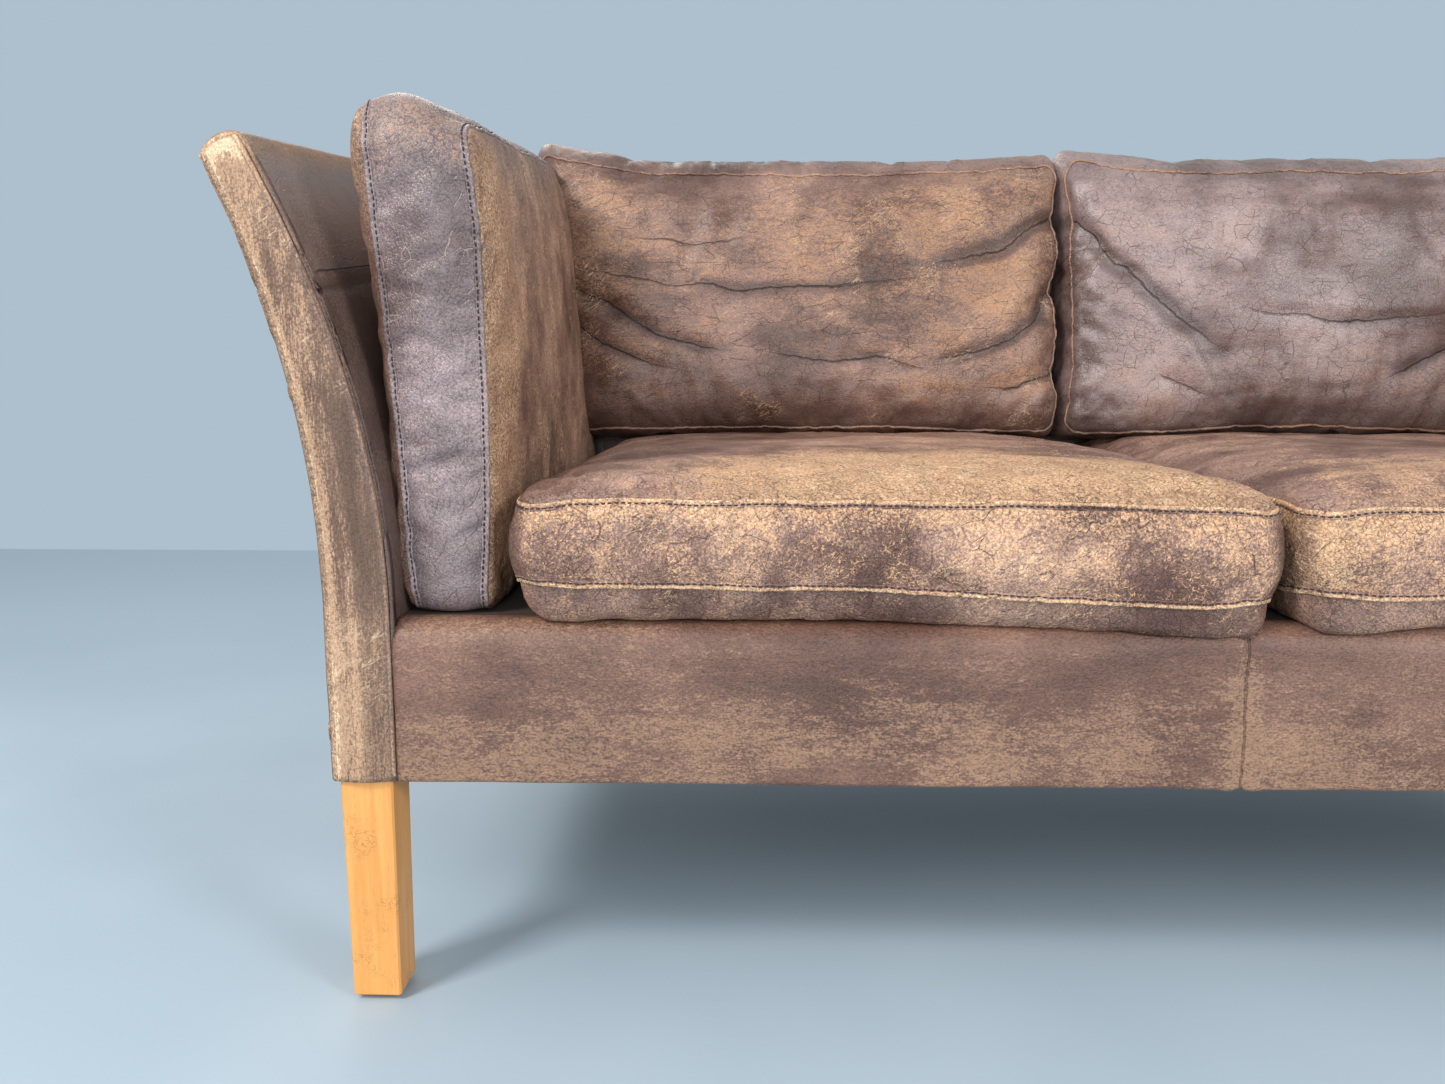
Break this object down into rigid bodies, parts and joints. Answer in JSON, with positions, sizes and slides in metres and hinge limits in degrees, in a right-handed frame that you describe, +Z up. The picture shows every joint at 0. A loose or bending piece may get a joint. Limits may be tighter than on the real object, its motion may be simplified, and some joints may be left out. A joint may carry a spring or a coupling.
{
  "type": "worn leather sofa",
  "caption": "Low sofa in worn brown leather with loose seat, back and arm cushions, outward curving arms and back, and square beech legs.",
  "frame": {"origin": "on the floor, under the middle of the sofa's bounding box", "axes": "+X along the sofa, to the right of someone who faces it; +Y from the front to the back; +Z up"},
  "size_m": [1.662, 0.7848, 0.7899],
  "materials": {
    "frame_leather": "worn matt aniline leather, dark brown rubbed to tan at the edges",
    "cushion_leather": "creased aniline leather, dark brown to tan, satin where it is rubbed",
    "lacquered_beech": "clear lacquered beech gone orange, with small dark scratches",
    "glide_plastic": "brown moulded glides",
    "frame_wood": "unfinished sawn wood",
    "webbing": "woven jute webbing",
    "deck_cloth": "dark brown cloth on felt",
    "dust_cloth": "thin black non-woven cloth",
    "zinc_steel": "zinc plated"
  },
  "bodies": {
    "root": {"arm_cover_left": "frame_leather", "arm_post_front_left": "frame_wood", "arm_post_rear_left": "frame_wood", "arm_bottom_rail_left": "frame_wood", "arm_top_rail_left": "frame_wood", "arm_cover_right": "frame_leather", "arm_post_front_right": "frame_wood", "arm_post_rear_right": "frame_wood", "arm_bottom_rail_right": "frame_wood", "arm_top_rail_right": "frame_wood", "back_cover": "frame_leather", "back_bottom_rail": "frame_wood", "back_top_rail": "frame_wood", "back_post_left": "frame_wood", "back_post_centre": "frame_wood", "back_post_right": "frame_wood", "front_rail": "frame_wood", "front_rail_cover": "frame_leather", "rear_rail": "frame_wood", "side_rail_left": "frame_wood", "side_rail_right": "frame_wood", "centre_rail": "frame_wood", "corner_block_front_left": "frame_wood", "corner_block_rear_left": "frame_wood", "corner_block_front_right": "frame_wood", "corner_block_rear_right": "frame_wood", "webbing_left_1": "webbing", "webbing_left_2": "webbing", "webbing_left_3": "webbing", "webbing_left_4": "webbing", "webbing_right_1": "webbing", "webbing_right_2": "webbing", "webbing_right_3": "webbing", "webbing_right_4": "webbing", "seat_deck": "deck_cloth", "dust_cover": "dust_cloth", "leg_front_left": "lacquered_beech", "glide_front_left": "glide_plastic", "leg_bolt_front_left": "zinc_steel", "leg_rear_left": "lacquered_beech", "glide_rear_left": "glide_plastic", "leg_bolt_rear_left": "zinc_steel", "leg_front_right": "lacquered_beech", "glide_front_right": "glide_plastic", "leg_bolt_front_right": "zinc_steel", "leg_rear_right": "lacquered_beech", "glide_rear_right": "glide_plastic", "leg_bolt_rear_right": "zinc_steel", "arm_bolt_front_left": "zinc_steel", "arm_bolt_rear_left": "zinc_steel", "arm_bolt_front_right": "zinc_steel", "arm_bolt_rear_right": "zinc_steel", "seat_cushion_left": "cushion_leather", "back_cushion_left": "cushion_leather", "arm_cushion_left": "cushion_leather", "seat_cushion_right": "cushion_leather", "back_cushion_right": "cushion_leather", "arm_cushion_right": "cushion_leather"}
  },
  "joints": []
}
